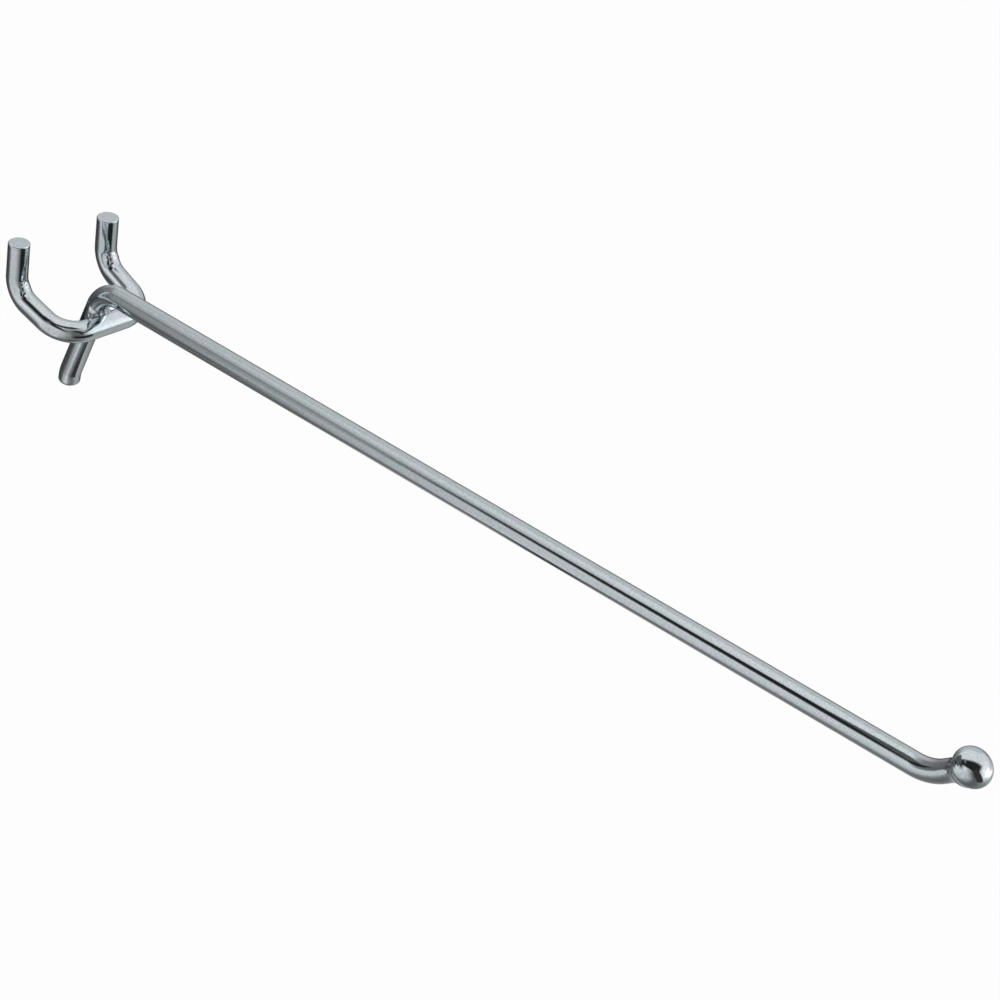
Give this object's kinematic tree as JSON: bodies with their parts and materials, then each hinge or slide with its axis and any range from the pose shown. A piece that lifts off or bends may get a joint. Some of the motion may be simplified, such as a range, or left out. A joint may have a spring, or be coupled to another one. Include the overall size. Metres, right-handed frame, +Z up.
{
  "type": "pegboard hook",
  "caption": "Long straight wire hook with an upturned ball end, a bracing leg and two upturned prongs that hook into pegboard.",
  "frame": {"origin": "midway between the two prong axes, level with the corners where the prongs turn up", "axes": "+X across the prongs, +Y into the board, +Z up the prongs; the arm reaches out along -Y"},
  "size_m": [0.0304, 0.2969, 0.0635],
  "materials": {
    "zinc_wire": "bright zinc plate on drawn steel wire",
    "weld_metal": "zinc plate over weld metal, slightly rough"
  },
  "bodies": {
    "root": {"prong_wire": "zinc_wire", "arm_wire": "zinc_wire", "weld_bead": "weld_metal"}
  },
  "joints": []
}
